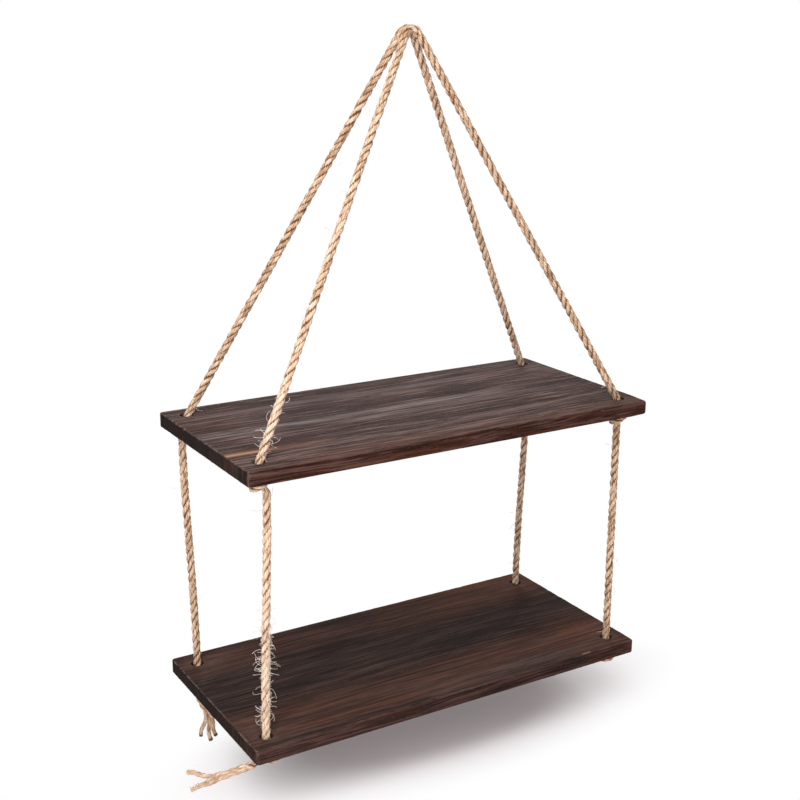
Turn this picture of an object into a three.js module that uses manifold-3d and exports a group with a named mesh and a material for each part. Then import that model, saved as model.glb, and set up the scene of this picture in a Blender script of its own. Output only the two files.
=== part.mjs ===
// Hanging rope shelf: two wooden boards carried by two ropes that hang from one point.
// The front rope and the rear rope each run from a tail under the lower board, up through both
// boards, over the hanging point and down the other side. A knot under each hole carries the board.
// Millimetres, +Z up, +Y to the wall side, origin where the two ropes bear on the hanging point.

import * as THREE from "three";
import { mergeVertices } from "three/addons/utils/BufferGeometryUtils.js";
import Module from "manifold-3d";

const wasm = await Module();
wasm.setup();

// Boards
const boardLength = 400;
const boardWidth = 190;
const boardThickness = 13;
const boardCornerRadius = 3;
const boardEdgeRound = 1;

// Heights
const slingHeight = 324; // from the hanging point down to the upper board's top face
const tierSpacing = 241; // from one board's top face to the other's

// Rope holes
const holeDiameter = 12;
const holeEndInset = 18;
const holeSideInset = 20;

// Ropes
const ropeDiameter = 7;
const strandDiameter = 3.6; // one of the three strands of a frayed end
const hangerDiameter = 6; // of the hook or nail that the ropes are hung on
const ropeSideGap = 0.6; // between the two ropes where they lie side by side on the hanging point
const clearance = 0.3; // between pieces that touch

// Overhand knots, in which the rope is squeezed thinner
const knotRopeDiameter = 5;
const knotRingRadius = 6.5; // mean distance of the knot's rope from the knot's middle line
const knotSwing = 2.8; // how far it swings in and out from that
const knotRise = 2.7; // how far it swings up and down
const knotEntry = 7.5; // height above the knot's middle where the rope leaves the hole's axis
const knotHandle = 4; // length of the tangents that lead the rope in and out
const knotSideReach = 14; // where a sideways tail leaves the knot
const knotSideDrop = 5.5;

// Flexing places of the ropes
const swingNeckLength = 6; // rope between the two swing axes' sliding faces at the hanging point
const swingStart = 14; // distance of the first sliding face from the swing axes
const pivotDrop = 3; // rope between a knot's end and the middle of its flexing place
const holePivotDepth = 3; // middle of the flexing place under the lower board's top face
const turnDepth = 2; // where a sling's line meets the hole's axis under the upper top face
const turnReach = 4.5; // rope length on each side of that point that the turn takes
const slingEndReach = 6.5; // where the sling ends above that point

const knotExitAngle = 320; // degrees round the knot, where a sideways tail leaves it
const overlap = 1; // of the tubes that are joined into one piece of rope

// Tails: whether each leaves its knot sideways, the knot's turn about its hole, the run of whole rope
// and the strand tips, as points chosen by hand from where the tail starts, and a level line across it
const tailStub = 2; // rope between a lower knot and its tail
const hangingTail = {
  side: false, turn: 0, run: [5, -3, -19], tips: [[13, -6, -46], [1, 2, -47], [7, -7, -49]], across: [1, 0, 0],
};
const mirroredTail = {
  side: false, turn: 0, run: [-3, 2, -19], tips: [[6, 5, -47], [-9, 5, -46], [-5, -5, -49]], across: [1, 0, 0],
};
const leftTail = {
  side: true, turn: -140, run: [-19, 0, -1], tips: [[-46, 17, 0], [-48, -8, 1], [-51, -4, -3]], across: [0, 1, 0],
};
const rearwardTail = {
  side: true, turn: -210, run: [-9, 20, 0], tips: [[-13, 48, 0], [-28, 44, -1], [-21, 49, -2]], across: [1, 0, 0],
};

// Facets
const ropeSides = 12;
const knotSides = 6;
const strandSides = 6;
const knotSteps = 42;
const bendSteps = 24;
const turnSteps = 6;
const tailSteps = 6;
const strandSteps = 6;
const holeFacets = 16;
const cornerFacets = 4;
const pivotBallFacets = 12;
const swingBallFacets = 48;

// Sizes worked out from those above
const ropeRadius = ropeDiameter / 2;
const knotRopeRadius = knotRopeDiameter / 2;
const strandRadius = strandDiameter / 2;
const holeX = boardLength / 2 - holeEndInset;
const holeY = boardWidth / 2 - holeSideInset;
const upperTop = -slingHeight;
const lowerTop = upperTop - tierSpacing;
const knotHang = clearance + knotRise + knotRopeRadius; // from a board's underside to its knots' middle
const upperKnotZ = upperTop - boardThickness - knotHang;
const lowerKnotZ = lowerTop - boardThickness - knotHang;
const upperPivotZ = upperKnotZ - knotEntry - pivotDrop;
const lowerPivotZ = lowerTop - holePivotDepth;
const swingPivot = new THREE.Vector3(0, 0, -hangerDiameter / 2);
const swingEnd = swingStart + swingNeckLength;
const bendRadius = hangerDiameter / 2 + ropeRadius;
const crownY = ropeRadius + ropeSideGap / 2;

const corners = [
  { name: "front_left", x: -1, y: -1, tail: leftTail },
  { name: "front_right", x: 1, y: -1, tail: rearwardTail },
  { name: "rear_left", x: -1, y: 1, tail: hangingTail },
  { name: "rear_right", x: 1, y: 1, tail: mirroredTail },
];

const looks = {
  wood: { color: 0x3a2925, roughness: 0.55, metalness: 0 },
  rope: { color: 0xc9a27c, roughness: 0.9, metalness: 0 },
  cut_rope: { color: 0xd6b48f, roughness: 0.95, metalness: 0 },
};

const shelf = new THREE.Group();

// Turns a closed three.js geometry into a solid that can be cut and joined
function solidOf(geometry) {
  geometry.deleteAttribute("normal");
  geometry.deleteAttribute("uv");
  const merged = mergeVertices(geometry);
  const vertProperties = new Float32Array(merged.attributes.position.array);
  const triVerts = new Uint32Array(merged.index.array);
  return new wasm.Manifold(new wasm.Mesh({ numProp: 3, vertProperties, triVerts }));
}

function geometryOf(solid) {
  const mesh = solid.getMesh();
  const geometry = new THREE.BufferGeometry();
  geometry.setAttribute("position", new THREE.BufferAttribute(new Float32Array(mesh.vertProperties), 3));
  geometry.setIndex(new THREE.BufferAttribute(new Uint32Array(mesh.triVerts), 1));
  geometry.computeVertexNormals();
  return geometry;
}

function addPiece(name, look, solid) {
  const mesh = new THREE.Mesh(geometryOf(solid), new THREE.MeshStandardMaterial(looks[look]));
  mesh.name = name;
  shelf.add(mesh);
}

function arcPoints(centreX, centreY, radius, from, to, steps) {
  const points = [];
  for (let i = 0; i <= steps; i += 1) {
    const angle = from + ((to - from) * i) / steps;
    points.push(new THREE.Vector2(centreX + radius * Math.cos(angle), centreY + radius * Math.sin(angle)));
  }
  return points;
}

// A closed polygon of points on a circle
function ringPoints(centreX, centreY, radius, sides) {
  return arcPoints(centreX, centreY, radius, 0, 2 * Math.PI, sides).slice(0, sides);
}

function tube(curve, radius, sides, steps) {
  const section = new THREE.Shape(ringPoints(0, 0, radius, sides));
  return solidOf(new THREE.ExtrudeGeometry(section, { extrudePath: curve, steps }));
}

function straightTube(from, to, radius, sides) {
  return tube(new THREE.LineCurve3(from, to), radius, sides, 1);
}

// A ball with its poles on the vertical
function ball(centre, radius, facets) {
  const geometry = new THREE.SphereGeometry(radius, facets, facets / 2);
  geometry.rotateX(Math.PI / 2);
  geometry.translate(centre.x, centre.y, centre.z);
  return solidOf(geometry);
}

function along(point, direction, distance) {
  return point.clone().addScaledVector(direction, distance);
}

// Board: a plank with rounded corners and arrises and a hole near each corner
function boardOutline() {
  const innerX = boardLength / 2 - boardCornerRadius;
  const innerY = boardWidth / 2 - boardCornerRadius;
  const points = [];
  [[1, 1], [-1, 1], [-1, -1], [1, -1]].forEach(([sideX, sideY], quarter) => {
    const start = (quarter * Math.PI) / 2;
    const end = start + Math.PI / 2;
    const arc = arcPoints(sideX * innerX, sideY * innerY, boardCornerRadius, start, end, cornerFacets);
    points.push(...arc);
  });
  return points;
}

function board(topZ) {
  const shape = new THREE.Shape(boardOutline());
  for (const corner of corners) {
    const hole = ringPoints(corner.x * holeX, corner.y * holeY, holeDiameter / 2, holeFacets);
    shape.holes.push(new THREE.Path(hole));
  }
  const geometry = new THREE.ExtrudeGeometry(shape, {
    depth: boardThickness - 2 * boardEdgeRound,
    bevelThickness: boardEdgeRound,
    bevelSize: boardEdgeRound,
    bevelOffset: -boardEdgeRound,
    bevelSegments: 1,
  });
  geometry.translate(0, 0, topZ - boardThickness + boardEdgeRound);
  return solidOf(geometry);
}

// The plane in which one rope hangs: its crown over the hanging point, its two legs and how it turns.
// A point in it is given by x and by the distance s down the plane from the crown.
function ropePlane(side) {
  const crown = new THREE.Vector3(0, side * crownY, ropeRadius);
  const foot = new THREE.Vector3(0, side * holeY, upperTop - turnDepth);
  const down = foot.clone().sub(crown);
  const footS = down.length();
  down.normalize();
  const reach = Math.hypot(holeX, footS - bendRadius);
  const turn = Math.atan2(footS - bendRadius, holeX) - Math.acos(bendRadius / reach) + Math.PI / 2;
  const at = (x, s) => along(crown, down, s).add(new THREE.Vector3(x, 0, 0));
  return { at, turn };
}

// The rope over the hanging point: a straight leg, an arc and the other leg, by length from the crown
class RopeBend extends THREE.Curve {
  constructor(plane, halfLength) {
    super();
    this.plane = plane;
    this.halfLength = halfLength;
  }

  getPoint(t, target = new THREE.Vector3()) {
    const length = (2 * t - 1) * this.halfLength;
    const side = Math.sign(length);
    const onArc = Math.min(Math.abs(length), bendRadius * this.plane.turn);
    const angle = onArc / bendRadius;
    const onLeg = Math.abs(length) - onArc;
    const x = bendRadius * Math.sin(angle) + onLeg * Math.cos(angle);
    const s = bendRadius * (1 - Math.cos(angle)) + onLeg * Math.sin(angle);
    return target.copy(this.plane.at(side * x, s));
  }
}

// One leg of a rope: where it leaves the arc, and its direction down to the hole
function leg(corner) {
  const plane = ropePlane(corner.y);
  const top = plane.at(corner.x * bendRadius * Math.sin(plane.turn), bendRadius * (1 - Math.cos(plane.turn)));
  const foot = new THREE.Vector3(corner.x * holeX, corner.y * holeY, upperTop - turnDepth);
  const direction = foot.clone().sub(top).normalize();
  return { top, foot, direction };
}

function ropeCrown(side) {
  const bend = new RopeBend(ropePlane(side), swingEnd + bendRadius);
  const rope = tube(bend, ropeRadius, ropeSides, bendSteps);
  return rope.intersect(ball(swingPivot, swingStart - clearance / 2, swingBallFacets));
}

function swingNeck(corner) {
  const { top, direction } = leg(corner);
  const rope = straightTube(top, along(top, direction, swingEnd + bendRadius), ropeRadius, ropeSides);
  const outside = ball(swingPivot, swingStart + clearance / 2, swingBallFacets);
  const inside = ball(swingPivot, swingEnd - clearance / 2, swingBallFacets);
  return rope.subtract(outside).intersect(inside);
}

function sling(corner) {
  const { top, foot, direction } = leg(corner);
  const rope = straightTube(top, along(foot, direction, -slingEndReach), ropeRadius, ropeSides);
  return rope.subtract(ball(swingPivot, swingEnd + clearance / 2, swingBallFacets));
}

// The loops of an overhand knot: three passes down its middle with two rises round the outside
class KnotLoops extends THREE.Curve {
  constructor(turnDegrees) {
    super();
    this.turn = THREE.MathUtils.degToRad(turnDegrees);
  }

  getPoint(t, target = new THREE.Vector3()) {
    const swing = Math.PI * (1 + 4 * t);
    const round = (2 * swing) / 3 + this.turn;
    const radius = knotRingRadius + knotSwing * Math.cos(swing);
    return target.set(radius * Math.cos(round), radius * Math.sin(round), knotRise * Math.sin(swing));
  }
}

// A smooth lead between two points with given directions
function lead(from, fromDirection, to, toDirection) {
  const first = along(from, fromDirection, knotHandle);
  const second = along(to, toDirection, -knotHandle);
  return new THREE.CubicBezierCurve3(from, first, second, to);
}

// The knot's centreline about its own middle, from the hole's axis above to its exit
function knotPath(exit) {
  const loops = new KnotLoops(exit.turn);
  const down = new THREE.Vector3(0, 0, -1);
  const outAngle = THREE.MathUtils.degToRad(knotExitAngle + exit.turn);
  const sideways = new THREE.Vector3(Math.cos(outAngle), Math.sin(outAngle), 0);
  const outDirection = exit.side ? sideways : down;
  const sideEnd = sideways.clone().multiplyScalar(knotSideReach).setZ(-knotSideDrop);
  const end = exit.side ? sideEnd : new THREE.Vector3(0, 0, -knotEntry);
  const path = new THREE.CurvePath();
  path.add(lead(new THREE.Vector3(0, 0, knotEntry), down, loops.getPoint(0), loops.getTangent(0)));
  path.add(loops);
  path.add(lead(loops.getPoint(1), loops.getTangent(1), end, outDirection));
  return { path, end, outDirection };
}

// A knot with the rope that leads into it and the stub of rope that leaves it
function knot(middle, exit, wayIn, exitLength) {
  const { path, end, outDirection } = knotPath(exit);
  const stub = straightTube(along(end, outDirection, -overlap), along(end, outDirection, exitLength),
    ropeRadius, ropeSides);
  const loops = tube(path, knotRopeRadius, knotSides, knotSteps);
  return loops.add(stub).translate(middle.toArray()).add(wayIn);
}

function holeAxisPoint(corner, z) {
  return new THREE.Vector3(corner.x * holeX, corner.y * holeY, z);
}

// The rope's turn from a sling's slant into the upper board's hole
function turnIntoHole(corner) {
  const { foot, direction } = leg(corner);
  const slantEnd = along(foot, direction, -turnReach);
  const turnEnd = holeAxisPoint(corner, foot.z - turnReach);
  const path = new THREE.CurvePath();
  path.add(new THREE.LineCurve3(along(foot, direction, clearance - slingEndReach), slantEnd));
  path.add(new THREE.QuadraticBezierCurve3(slantEnd, foot, turnEnd));
  path.add(new THREE.LineCurve3(turnEnd, holeAxisPoint(corner, upperKnotZ + knotEntry - overlap)));
  return tube(path, ropeRadius, ropeSides, turnSteps);
}

function upperKnot(corner) {
  const middle = holeAxisPoint(corner, upperKnotZ);
  const solid = knot(middle, hangingTail, turnIntoHole(corner), pivotDrop);
  return solid.subtract(ball(holeAxisPoint(corner, upperPivotZ), ropeRadius + clearance, pivotBallFacets));
}

function lowerKnot(corner) {
  const pivot = holeAxisPoint(corner, lowerPivotZ);
  const wayIn = straightTube(pivot, holeAxisPoint(corner, lowerKnotZ + knotEntry - overlap), ropeRadius, ropeSides);
  const solid = knot(holeAxisPoint(corner, lowerKnotZ), corner.tail, wayIn, tailStub);
  return solid.subtract(ball(pivot, ropeRadius + clearance, pivotBallFacets));
}

// The free rope between the boards, hollowed at each end round its flexing places
function dropRope(corner) {
  const upper = holeAxisPoint(corner, upperPivotZ);
  const lower = holeAxisPoint(corner, lowerPivotZ);
  const rope = straightTube(upper, lower, ropeRadius, ropeSides);
  return rope
    .subtract(ball(upper, ropeRadius + clearance, pivotBallFacets))
    .subtract(ball(lower, ropeRadius + clearance, pivotBallFacets));
}

// A tail: a short run of rope that comes apart into its three strands
function ropeTail(corner) {
  const { end, outDirection } = knotPath(corner.tail);
  const start = along(end, outDirection, tailStub + clearance).add(holeAxisPoint(corner, lowerKnotZ));
  const { run, tips } = corner.tail;
  const trunkEnd = start.clone().add(new THREE.Vector3(...run));
  const bendPoint = along(start, outDirection, trunkEnd.distanceTo(start) / 2);
  let solid = tube(new THREE.QuadraticBezierCurve3(start, bendPoint, trunkEnd), ropeRadius, ropeSides, tailSteps);
  const direction = trunkEnd.clone().sub(bendPoint).normalize();
  const across = new THREE.Vector3(...corner.tail.across);
  const upward = direction.clone().cross(across).normalize();
  tips.forEach((tip, index) => {
    const angle = (index * 2 * Math.PI) / tips.length;
    const offset = across.clone().multiplyScalar(Math.cos(angle)).addScaledVector(upward, Math.sin(angle));
    const root = along(trunkEnd, offset, ropeRadius - strandRadius);
    const points = [along(root, direction, -overlap), along(root, direction, strandDiameter),
      start.clone().add(new THREE.Vector3(...tip))];
    solid = solid.add(tube(new THREE.CatmullRomCurve3(points), strandRadius, strandSides, strandSteps));
  });
  return solid;
}

addPiece("upper_board", "wood", board(upperTop));
addPiece("lower_board", "wood", board(lowerTop));
addPiece("front_rope_crown", "rope", ropeCrown(-1));
addPiece("rear_rope_crown", "rope", ropeCrown(1));
for (const corner of corners) {
  addPiece(`${corner.name}_swing_neck`, "rope", swingNeck(corner));
  addPiece(`${corner.name}_sling`, "rope", sling(corner));
  addPiece(`${corner.name}_upper_knot`, "rope", upperKnot(corner));
  addPiece(`${corner.name}_upper_flex`, "rope", ball(holeAxisPoint(corner, upperPivotZ), ropeRadius, pivotBallFacets));
  addPiece(`${corner.name}_drop_rope`, "rope", dropRope(corner));
  addPiece(`${corner.name}_lower_flex`, "rope", ball(holeAxisPoint(corner, lowerPivotZ), ropeRadius, pivotBallFacets));
  addPiece(`${corner.name}_lower_knot`, "rope", lowerKnot(corner));
  addPiece(`${corner.name}_tail`, "cut_rope", ropeTail(corner));
}

export default shelf;
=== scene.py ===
# Hanging rope shelf: two worn, dark stained boards on two ropes of twisted jute.
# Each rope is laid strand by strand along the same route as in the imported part, in metres.

import itertools
import math

import bmesh
import bpy
import numpy as np
from mathutils import Matrix, Vector, noise


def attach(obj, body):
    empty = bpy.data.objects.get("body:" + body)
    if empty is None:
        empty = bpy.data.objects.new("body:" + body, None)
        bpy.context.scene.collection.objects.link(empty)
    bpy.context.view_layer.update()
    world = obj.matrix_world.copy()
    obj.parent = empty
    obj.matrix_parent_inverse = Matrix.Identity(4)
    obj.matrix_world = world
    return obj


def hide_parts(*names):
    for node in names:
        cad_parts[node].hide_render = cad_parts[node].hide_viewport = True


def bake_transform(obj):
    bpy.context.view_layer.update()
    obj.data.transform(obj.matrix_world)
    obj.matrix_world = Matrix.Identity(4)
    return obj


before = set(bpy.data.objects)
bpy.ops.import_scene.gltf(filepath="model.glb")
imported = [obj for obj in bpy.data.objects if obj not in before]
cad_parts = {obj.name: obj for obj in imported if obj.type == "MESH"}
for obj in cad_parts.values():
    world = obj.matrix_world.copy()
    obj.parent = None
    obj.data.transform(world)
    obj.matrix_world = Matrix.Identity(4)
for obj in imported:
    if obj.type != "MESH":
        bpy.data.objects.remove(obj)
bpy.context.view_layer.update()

# Boards
BOARD_LENGTH = 0.400
BOARD_WIDTH = 0.190
BOARD_THICKNESS = 0.013
BOARD_CORNER_RADIUS = 0.003
SLING_HEIGHT = 0.324
TIER_SPACING = 0.241
HOLE_DIAMETER = 0.012
HOLE_END_INSET = 0.018
HOLE_SIDE_INSET = 0.020
UPPER_TOP = -SLING_HEIGHT
LOWER_TOP = UPPER_TOP - TIER_SPACING
HOLE_X = BOARD_LENGTH / 2 - HOLE_END_INSET
HOLE_Y = BOARD_WIDTH / 2 - HOLE_SIDE_INSET

# Wear of the boards' edges: how far an arris is rounded, and how far its paler band reaches
ARRIS_ROUND = 0.0010
ARRIS_WEAR = 0.0007
CHIP_DEPTH = 0.0016
WEAR_BAND = 0.0010
DEEPEST_ARRIS = 0.0026
DEEPEST_BAND = 0.0028
CORNER_WEAR = 0.6
SIDE_WEAR = 0.45
END_REACH = 0.002
KNOCKED_CORNER = (BOARD_LENGTH / 2, -BOARD_WIDTH / 2)
KNOCK_DEPTH = 0.0020
KNOCK_REACH = 0.022

# The noise that this wear follows: its changes to a metre, finer wear and chips as multiples of
# them, where chips begin and how soon they are whole, and a layer of the noise for each face
WEAR_SPACING = 60.0
FINE_WEAR = 4.1
CHIP_SPACING = 2.3
CHIP_SHIFT = Vector((7, 3, 1))
CHIP_START = 0.42
CHIP_EASE = 0.4
TOP_LAYER = 5.0
BOTTOM_LAYER = 11.0

# Each board: the height of its top, where its wear lies in that noise, and how deep its front right
# corner is knocked
BOARDS = (
    {"level": "upper", "top": UPPER_TOP, "wear_shift": 0.0, "knock_depth": KNOCK_DEPTH},
    {"level": "lower", "top": LOWER_TOP, "wear_shift": 40.0, "knock_depth": 0.0},
)

# Meshes of the boards: the rings of an arris, by their angle from the face in degrees and how worn
# each looks, and the eased arrises of the holes
ARRIS_RINGS = ((0, 0.35), (22, 0.9), (45, 1.0), (68, 0.6), (90, 0.0))
OUTLINE_STEP = 0.0016
CORNER_POINTS = 7
SHARP_ANGLE = math.radians(35)
HOLE_POINTS = 48
HOLE_ARRIS = 0.0005
HOLE_EASE = 0.00015
HOLE_RIM_WEAR = 0.3
HOLE_ARRIS_WEAR = 0.5

# Ropes
ROPE_DIAMETER = 0.007
ROPE_RADIUS = ROPE_DIAMETER / 2
HANGER_DIAMETER = 0.006
ROPE_SIDE_GAP = 0.0006
CLEARANCE = 0.0003
BEND_RADIUS = HANGER_DIAMETER / 2 + ROPE_RADIUS
CROWN_Y = ROPE_RADIUS + ROPE_SIDE_GAP / 2
TURN_DEPTH = 0.002
TURN_REACH = 0.0045
DROP_TOP_PULL = 0.06
DROP_FOOT_PULL = 0.08

# Points along the ropes' lines
LAY_STEP = 0.0008
TURN_STEPS = 16
CURVE_STEPS = 24
KNOT_STEPS = 180
ROPE_SMOOTHING = 3

# The lay: three strands of six yarns each, how they drift and wander from an even lay, how much their
# thickness varies, and how far the fibres of each lie from those of the next
STRANDS = 3
STRAND_RADIUS = 0.00198
LAY_RADIUS = 0.00156
LAY_LENGTH = 0.026
STRAND_SIDES = 18
YARNS = 6
YARN_RIDGE = 0.065
YARN_LAY_LENGTH = -0.028
LAY_DRIFT = 0.24
DRIFT_WAVES = ((0.0091, 0.0), (0.0157, 1.3))
STRAND_WANDER = 0.13
WANDER_LENGTHS = (0.0052, 0.0083)
WANDER_SHIFT = 2.4
FIBRE_SHIFT = 3.7
STRAND_SWELL = 0.30
SWELL_SPACING = 80.0

# How thin the rope is in a knot, how soon it gets so, and how thin where it tucks into the next stretch
KNOT_THINNING = 0.74
KNOT_EASE = 0.006
TUCKED = 0.96

# Knots, as in the part
KNOT_ROPE_RADIUS = 0.0025
KNOT_RING_RADIUS = 0.0065
KNOT_SWING = 0.0028
KNOT_RISE = 0.0027
KNOT_ENTRY = 0.0075
KNOT_HANDLE = 0.004
KNOT_SIDE_REACH = 0.014
KNOT_SIDE_DROP = 0.0055
KNOT_EXIT_ANGLE = 320
KNOT_HANG = CLEARANCE + KNOT_RISE + KNOT_ROPE_RADIUS
UPPER_KNOT_Z = UPPER_TOP - BOARD_THICKNESS - KNOT_HANG
LOWER_KNOT_Z = LOWER_TOP - BOARD_THICKNESS - KNOT_HANG
PIVOT_DROP = 0.003
HOLE_PIVOT_DEPTH = 0.003
LOWER_PIVOT_Z = LOWER_TOP - HOLE_PIVOT_DEPTH

# Hairs that stand out of the ropes: how many to a square metre of rope, how many times as big as the
# curl below, and how thick
FLUFF = {"density": 8.0e5, "size": 0.65, "radius": 0.00012}
CURLS = {"density": 1.3e5, "size": 3.125, "radius": 0.00014}
HAIR_CURL = {
    "Resolution": 16, "Rotations": 0.5, "Start Radius": 0.0010, "End Radius": 0.0019, "Height": 0.0016,
}
HAIR_ROOT = (-0.0010, 0, 0)
HAIR_TURN = (0.9, 3.14, 0.9)
HAIR_SIDES = 3
HAIR_SEED = 10
HAIR_OUTWARD = 0.8
CLUMP_SPACING = 110.0
CLUMP_EDGES = (0.40, 0.62)
LITTLE_HAIR = 0.03
SHORT_PIECE_HAIR = 0.12

# Where the stretches of rope begin, measured along the rope from the crown
CROWN_HALF = 0.0105
NECK_END = 0.036
HOLE_TURN_UP = 0.0065

# Strands of the tails: how they leave the rope, stay crimped and spread, and how their tips end
TAIL_STUB = 0.002
STRAND_TAIL_RADIUS = 0.0018
TAIL_YARN_RIDGE = 2 * YARN_RIDGE
TAIL_ROOT_EASE = 0.014
TAIL_SMOOTHING = 2
TAIL_HAIR = 0.2
STRAND_CRIMP = 0.0006
CRIMP_EASE = 0.010
SPREAD_LEAVE = 0.35
SPREAD_ARRIVE = 0.3
SPREAD_BEND = 0.4
TIP_FRAY = 0.004
TIP_SPREAD = 0.10
TIP_HAIR = 2.5
SEALED_LENGTH = 0.0034
SEALED_EASE = 0.0012
SEALED_SHARE = 0.92
SKEW_DIRECTION = (0.3, 0.5, 0.8)

# The tails, as in the part: whether the rope leaves its knot sideways, the knot's turn in degrees,
# the run of whole rope, a level line across it, the strands' tips, and whether they are sealed
HANGING_TAIL = {
    "side": False, "turn": 0, "run": (0.005, -0.003, -0.019), "across": (1, 0, 0),
    "tips": ((0.013, -0.006, -0.046), (0.001, 0.002, -0.047), (0.007, -0.007, -0.049)), "sealed": True,
}
MIRRORED_TAIL = {
    "side": False, "turn": 0, "run": (-0.003, 0.002, -0.019), "across": (1, 0, 0),
    "tips": ((0.006, 0.005, -0.047), (-0.009, 0.005, -0.046), (-0.005, -0.005, -0.049)), "sealed": True,
}
LEFT_TAIL = {
    "side": True, "turn": -140, "run": (-0.019, 0, -0.001), "across": (0, 1, 0),
    "tips": ((-0.046, 0.017, 0), (-0.048, -0.008, 0.001), (-0.051, -0.004, -0.003)), "sealed": False,
}
REARWARD_TAIL = {
    "side": True, "turn": -210, "run": (-0.009, 0.020, 0), "across": (1, 0, 0),
    "tips": ((-0.013, 0.048, 0), (-0.028, 0.044, -0.001), (-0.021, 0.049, -0.002)), "sealed": False,
}

# How far each free rope leans aside where it leaves its upper knot, as seen by the camera, how hairy
# the lower ends of its sling and of the free rope are, and its painted light and shade: how much paler or
# darker its jute is painted as it is lit
CORNERS = (
    {"name": "front_left", "x": -1, "y": -1, "tail": LEFT_TAIL, "lean": 0.0055,
     "sling_hair": 0.8, "drop_hair": 1.0, "paleness": 0.04},
    {"name": "front_right", "x": 1, "y": -1, "tail": REARWARD_TAIL, "lean": 0.0,
     "sling_hair": 0.2, "drop_hair": 0.1, "paleness": -0.09},
    {"name": "rear_left", "x": -1, "y": 1, "tail": HANGING_TAIL, "lean": -0.0050,
     "sling_hair": 0.1, "drop_hair": 0.05, "paleness": -0.07},
    {"name": "rear_right", "x": 1, "y": 1, "tail": MIRRORED_TAIL, "lean": 0.0060,
     "sling_hair": 0.1, "drop_hair": 0.05, "paleness": -0.01},
)
LEAN_DIRECTION = (0.861, -0.508, 0)

# Where the ropes get hairy and pale, as heights and lengths, over which length each side's painted light
# and shade eases into the other's at the crown, and how much paler hairy rope is
SLING_HAIR_START = -0.265
DROP_HAIR_START = -0.440
HAIR_EASE = 0.040
HAIR_OVER_BOARD = 0.003
PALENESS_EASE = 0.04
HAIRY_PALENESS = 0.06

# Camera and floor
CAMERA_PLACE = (-0.5768, -0.9486, -0.0036)
CAMERA_AZIMUTH = math.radians(30.95)
CAMERA_DROP = math.radians(15.82)
CAMERA_ROLL = math.radians(0.19)
PHOTO_SIZE = 800
FOCAL_PIXELS = 1281
SENSOR_WIDTH = 36
FLOOR_Z = -0.650
FLOOR_SIZE = 8.0

# Light: each lamp's name, place, size and watts
AMBIENT_STRENGTH = 0.27
LAMP_TARGET = (0, 0, -0.42)
LAMPS = (
    ("key_lamp", (-0.90, -0.92, 1.10), (0.9, 0.9), 25),
    ("left_lamp", (-0.78, -0.86, -0.12), (0.5, 0.7), 7.5),
    ("top_lamp", (0.1, 0.3, 1.8), (1.2, 1.0), 8),
    ("side_lamp", (1.8, -1.2, 0.3), (1.0, 1.2), 2),
    ("back_lamp", (0.9, 1.7, 0.3), (1.0, 1.2), 10),
)


# Camera

def linked(name, data):
    """A new object in the scene."""
    made = bpy.data.objects.new(name, data)
    bpy.context.scene.collection.objects.link(made)
    return made


def turn_towards(direction):
    """The turn with which a camera or a lamp looks that way."""
    return Vector(direction).to_track_quat("-Z", "Y").to_matrix().to_4x4()


def place_camera():
    data = bpy.data.cameras.new("photo_camera")
    data.sensor_width = SENSOR_WIDTH
    data.lens = SENSOR_WIDTH * FOCAL_PIXELS / PHOTO_SIZE
    camera = linked("photo_camera", data)
    level = math.cos(CAMERA_DROP)
    look = (math.sin(CAMERA_AZIMUTH) * level, math.cos(CAMERA_AZIMUTH) * level, -math.sin(CAMERA_DROP))
    camera.matrix_world = turn_towards(look) @ Matrix.Rotation(CAMERA_ROLL, 4, "Z")
    camera.location = CAMERA_PLACE
    bpy.context.scene.camera = camera


# Node trees

class Wire:
    """One output of a node, which Python's operators carry on into Math nodes."""

    def __init__(self, tree, output):
        self.tree = tree
        self.output = output

    def math(self, operation, *others):
        return self.tree.math(operation, self, *others)

    def __abs__(self):
        return self.math("ABSOLUTE")

    def __add__(self, other):
        return self.math("ADD", other)

    def __radd__(self, other):
        return self.tree.math("ADD", other, self)

    def __sub__(self, other):
        return self.math("SUBTRACT", other)

    def __rsub__(self, other):
        return self.tree.math("SUBTRACT", other, self)

    def __mul__(self, other):
        return self.math("MULTIPLY", other)

    def __rmul__(self, other):
        return self.tree.math("MULTIPLY", other, self)

    def __truediv__(self, other):
        return self.math("DIVIDE", other)

    def __getitem__(self, name):
        return Wire(self.tree, self.output.node.outputs[name])


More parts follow.
